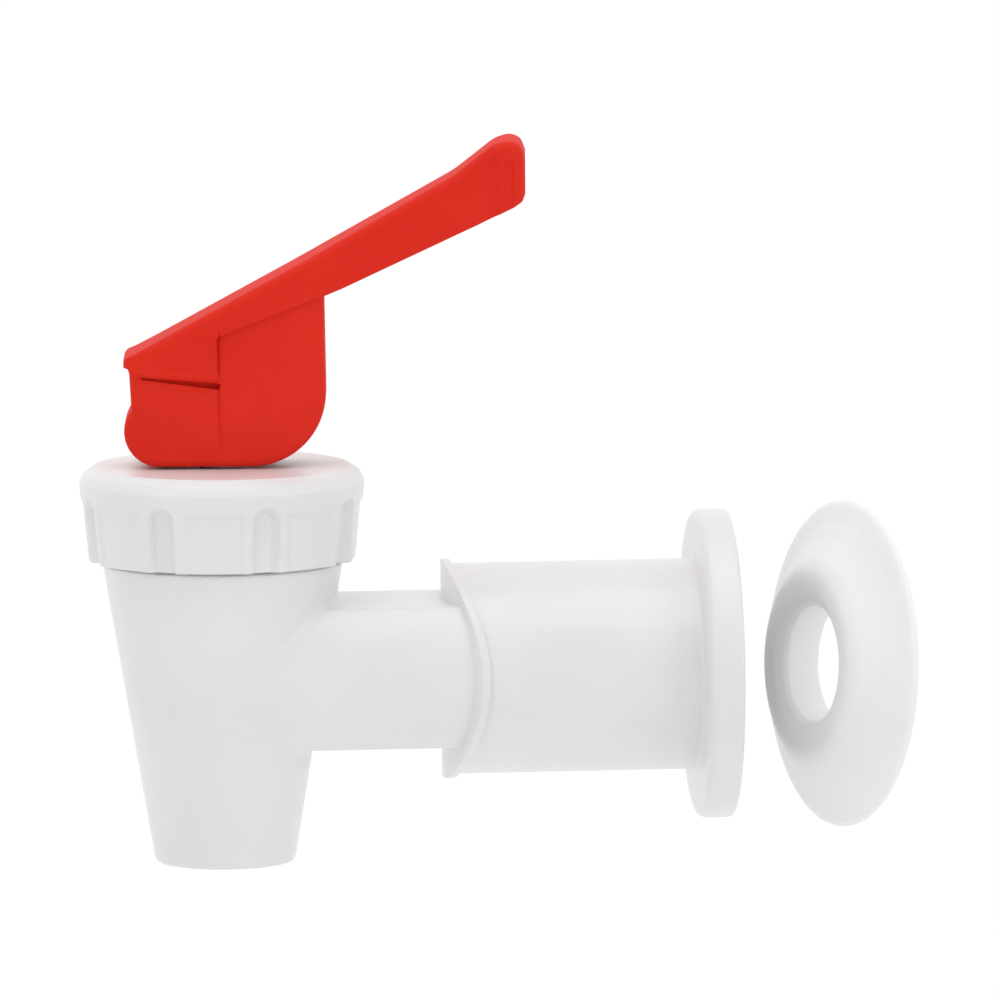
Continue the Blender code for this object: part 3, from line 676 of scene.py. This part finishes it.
def makeUndercut(side):
    # dark gap under the skirt, which opens from left to right
    size = leverSize
    left, right = -0.0106, size["skirtX"] + 0.00015
    leftTop, rightTop = size["skirtZ"][0] - 0.00008, size["skirtZ"][1] + 0.00005
    leftTall, rightTall = size["undercutTall"]
    outer, inner = size["half"] + 0.002, size["half"] - size["undercut"]
    shallow = inner + 0.0009
    return wedgePiece("undercut", {
        (True, True, False): (left, outer, leftTop), (False, True, False): (right, outer, rightTop),
        (True, False, False): (left, shallow, leftTop), (False, False, False): (right, inner, rightTop),
        (True, True, True): (left, outer, leftTop - leftTall),
        (False, True, True): (right, outer, rightTop - rightTall),
        (True, False, True): (left, shallow, leftTop - leftTall),
        (False, False, True): (right, inner, rightTop - rightTall)}, side)


def makeLine(side):
    # fine raised line down the block's side from the skirt's corner
    size = leverSize
    low, high = size["lineEnds"]
    clearSelection()
    bpy.ops.mesh.primitive_cylinder_add(
        vertices=20, radius=size["lineRadius"], depth=high - low,
        location=(valve["x"] + size["lineX"], side * (size["blockHalf"] - 0.00006),
                  valve["pinZ"] + (low + high) / 2))
    return bpy.context.active_object


def makeDent(side):
    # upright dent with a rounded top end in the pad's side
    size = leverSize
    clearSelection()
    bpy.ops.mesh.primitive_uv_sphere_add(segments=48, ring_count=24, radius=size["dentRadius"],
                                         location=(0, 0, 0))
    tool = bpy.context.active_object
    for vertex in tool.data.vertices:
        if vertex.co.z < 0.0001:
            vertex.co.z -= 0.012
    tool.location = (valve["x"] + size["dentX"],
                     side * (size["padHalf"] + size["dentRadius"] - size["dentDepth"]),
                     valve["pinZ"] + size["dentTop"] - size["dentRadius"] * 0.7)
    return tool


def makeLever():
    size = leverSize
    lever = makeArm()
    joinShape(lever, makeBlock(), "UNION")
    for side in (1, -1):
        for tool in (makeRecess(side), makeUndercut(side), makeDent(side)):
            joinShape(lever, tool, "DIFFERENCE")
        joinShape(lever, makeLine(side), "UNION")
    below = size["foot"] - 0.002
    slot = platePiece("slot", atPin([
        (size["slotLeft"], below), (size["slotRight"], below), (size["slotRight"], 0.0194),
        (size["slotLeft"], 0.0090)]), size["slotHalf"])
    joinShape(lever, slot, "DIFFERENCE")
    channel = platePiece("channel", atPin([
        (0.0164, 0.0150), (0.0365, 0.0250), (0.0365, 0.0345), (0.0319, 0.0314), (0.0164, 0.0227)]),
        size["channelHalf"])
    joinShape(lever, channel, "DIFFERENCE")
    ramp = platePiece("ramp", atPin([
        (-size["pinBore"], below), (size["pinBore"], below), (size["pinBore"], 0), (-size["pinBore"], 0)]),
        size["slotHalf"] + 0.0007)
    joinShape(lever, ramp, "DIFFERENCE")
    clearSelection()
    bpy.ops.mesh.primitive_cylinder_add(vertices=48, radius=size["pinBore"], depth=2 * size["pinDepth"],
                                        location=(valve["x"], 0, valve["pinZ"]), rotation=(math.pi / 2, 0, 0))
    joinShape(lever, bpy.context.active_object, "DIFFERENCE")
    openForEdit(lever)
    bpy.ops.mesh.select_all(action="SELECT")
    bpy.ops.mesh.remove_doubles(threshold=0.000003)
    bpy.ops.mesh.dissolve_degenerate(threshold=0.000003)
    bpy.ops.mesh.select_all(action="SELECT")
    bpy.ops.transform.rotate(value=math.radians(-size["turn"]), orient_axis="Z",
                             center_override=(valve["x"], 0, 0))
    bpy.ops.object.mode_set(mode="OBJECT")
    keepFlats(lever, 0.0000012)
    finishPiece(lever, "lever", redPlastic, ["lever_handle"], None)


makeLever()


# domed washer, taken off and turned a little towards the front

washerSize = {
    "hole": 0.0078, "rim": 0.02205, "ridge": 0.0116, "height": 0.0061, "rimThick": 0.0010,
    "place": (0.0158, 0.0, -0.0004), "turn": 20.0, "pitch": 3.5,
}


def makeWasher():
    size = washerSize
    ridge, height = size["ridge"], size["height"]
    line = softLine([
        (size["hole"], height - 0.0015, 0.0004), (size["hole"] + 0.0006, height - 0.0009, 0.0010),
        (ridge - 0.0018, height - 0.0002, 0.0020), (ridge + 0.0008, height, 0.0040),
        (ridge + 0.0026, height - 0.0011, 0.0040), (ridge + 0.0038, 0.0039, 0.0040),
        (ridge + 0.0054, 0.0027, 0.0040), (size["rim"] - 0.0029, 0.0016, 0.0040),
        (size["rim"] - 0.0004, size["rimThick"] - 0.0001, 0.0010), (size["rim"], 0.0006, 0.0002),
        (size["rim"], 0.0, 0.0002), (size["hole"], 0.0, 0.0003)], closed=True, steps=4)
    washer = turnPiece("domedWasher", line, 160, closed=True)
    openForEdit(washer)
    bpy.ops.mesh.select_all(action="SELECT")
    bpy.ops.transform.translate(value=(-valve["x"], 0, 0))
    bpy.ops.object.mode_set(mode="OBJECT")
    faceBack = Matrix.Rotation(math.radians(-90), 4, "Y")
    turn = Matrix.Rotation(math.radians(size["turn"]), 4, "Z")
    pitch = Matrix.Rotation(math.radians(size["pitch"]), 4, "Y")
    washer.matrix_world = Matrix.Translation(size["place"]) @ turn @ pitch @ faceBack
    finishPiece(washer, "body", paleSilicone, ["sealing_washer"], 50)


makeWasher()


# CAD pieces that stay, with their own finishes

keptPieces = {
    "handle_pin": ("stainless_steel", drawnSteel), "return_spring": ("stainless_steel", drawnSteel),
    "valve_stem": ("natural_nylon", naturalNylon), "slip_ring": ("natural_nylon", naturalNylon),
    "seat_cup": ("white_silicone", paleSilicone), "socket_washer": ("white_silicone", paleSilicone),
}
for name, (slot, material) in keptPieces.items():
    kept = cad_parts[name]
    kept.data.materials.clear()
    kept.data.materials.append(material)
print("hidden pieces finished")


# stage: pale floor below the tap, white surroundings, soft lamps and the photo's camera

stageSize = {
    "floor": -0.085, "floorWidth": 8.0, "floorWhite": 1.04, "shadowShare": 0.10,
    "ambient": 0.47, "backdrop": 0.98, "dimFrom": -0.3, "brightFrom": 0.4,
    "lookAt": (-0.03096, 0.0, 0.02278), "azimuth": -5.5, "elevation": 7.0, "roll": -0.45,
    "distance": 2.2, "frameWidth": 0.135,
    "lamps": {
        "topSoft": ((-0.10, -0.25, 0.95), (0.9, 0.9), 3.7),
        "leftSoft": ((-0.85, -0.75, 0.35), (0.6, 0.9), 1.5),
        "rightSoft": ((0.75, -0.75, 0.30), (0.5, 0.9), 2.0),
    },
}


def directRays(tree):
    # 1 for the rays that see the background: camera, glossy and transmission
    rays = addNode(tree, "ShaderNodeLightPath", (-700, 300))
    seen = addNode(tree, "ShaderNodeMath", (-450, 300))
    seen.operation = "MAXIMUM"
    direct = addNode(tree, "ShaderNodeMath", (-250, 300))
    direct.operation = "MAXIMUM"
    tree.links.new(rays.outputs["Is Camera Ray"], seen.inputs[0])
    tree.links.new(rays.outputs["Is Glossy Ray"], seen.inputs[1])
    tree.links.new(seen.outputs[0], direct.inputs[0])
    tree.links.new(rays.outputs["Is Transmission Ray"], direct.inputs[1])
    return direct.outputs[0]


def makeFloor():
    clearSelection()
    bpy.ops.mesh.primitive_plane_add(size=stageSize["floorWidth"], location=(0, 0, stageSize["floor"]))
    floor = bpy.context.active_object
    floor.name = "paleFloor"
    made = bpy.data.materials.new("paleFloor")
    made.use_nodes = True
    tree = made.node_tree
    shader = tree.nodes["Principled BSDF"]
    shader.inputs["Base Color"].default_value = (0.9, 0.9, 0.9, 1)
    shader.inputs["Roughness"].default_value = 0.9
    white = addNode(tree, "ShaderNodeEmission", (0, -200), Strength=stageSize["floorWhite"])
    share = addNode(tree, "ShaderNodeMath", (-50, 300))
    share.operation = "MULTIPLY"
    share.inputs[1].default_value = 1 - stageSize["shadowShare"]
    mix = addNode(tree, "ShaderNodeMixShader", (250, 100))
    tree.links.new(directRays(tree), share.inputs[0])
    tree.links.new(share.outputs[0], mix.inputs["Fac"])
    tree.links.new(shader.outputs["BSDF"], mix.inputs[1])
    tree.links.new(white.outputs["Emission"], mix.inputs[2])
    tree.links.new(mix.outputs["Shader"], tree.nodes["Material Output"].inputs["Surface"])
    floor.data.materials.append(made)


def makeWorld():
    # the far half, behind the tap, lights it more than the near half, and direct rays see plain white
    world = bpy.data.worlds.new("studio")
    bpy.context.scene.world = world
    world.use_nodes = True
    tree = world.node_tree
    place = addNode(tree, "ShaderNodeTexCoord", (-900, 0))
    parts = addNode(tree, "ShaderNodeSeparateXYZ", (-700, 0))
    share = addNode(tree, "ShaderNodeMapRange", (-500, 0))
    share.interpolation_type = "SMOOTHSTEP"
    share.inputs["From Min"].default_value = stageSize["dimFrom"]
    share.inputs["From Max"].default_value = stageSize["brightFrom"]
    share.inputs["To Min"].default_value = stageSize["ambient"]
    share.inputs["To Max"].default_value = stageSize["backdrop"]
    ambient = tree.nodes["Background"]
    ambient.inputs["Color"].default_value = (1, 1, 1, 1)
    white = addNode(tree, "ShaderNodeBackground", (0, -200), Strength=1.0)
    white.inputs["Color"].default_value = (1, 1, 1, 1)
    mix = addNode(tree, "ShaderNodeMixShader", (250, 100))
    tree.links.new(place.outputs["Generated"], parts.inputs[0])
    tree.links.new(parts.outputs["Y"], share.inputs["Value"])
    tree.links.new(share.outputs["Result"], ambient.inputs["Strength"])
    tree.links.new(directRays(tree), mix.inputs["Fac"])
    tree.links.new(ambient.outputs[0], mix.inputs[1])
    tree.links.new(white.outputs[0], mix.inputs[2])
    tree.links.new(mix.outputs["Shader"], tree.nodes["World Output"].inputs["Surface"])


def makeLamps():
    target = Vector(stageSize["lookAt"])
    for name, (place, (width, height), power) in stageSize["lamps"].items():
        lamp = bpy.data.lights.new(name, "AREA")
        lamp.shape = "RECTANGLE"
        lamp.size, lamp.size_y = width, height
        lamp.energy = power
        holder = bpy.data.objects.new(name, lamp)
        bpy.context.scene.collection.objects.link(holder)
        holder.location = place
        holder.rotation_euler = (target - Vector(place)).to_track_quat("-Z", "Y").to_euler()


def makeCamera():
    size = stageSize
    turn, rise = math.radians(size["azimuth"]), math.radians(size["elevation"])
    back = Vector((math.sin(turn) * math.cos(rise), -math.cos(turn) * math.cos(rise), math.sin(rise)))
    lens = bpy.data.cameras.new("photoView")
    lens.lens = 36 * size["distance"] / size["frameWidth"]
    lens.clip_start, lens.clip_end = 0.1, 50
    holder = bpy.data.objects.new("photoView", lens)
    bpy.context.scene.collection.objects.link(holder)
    look = (-back).to_track_quat("-Z", "Y").to_matrix().to_4x4()
    roll = Matrix.Rotation(math.radians(size["roll"]), 4, "Z")
    holder.matrix_world = Matrix.Translation(Vector(size["lookAt"]) + back * size["distance"]) @ look @ roll
    bpy.context.scene.camera = holder


makeFloor()
makeWorld()
makeLamps()
makeCamera()
bpy.context.scene.view_settings.view_transform = "Standard"
print("stage made")

clearSelection()
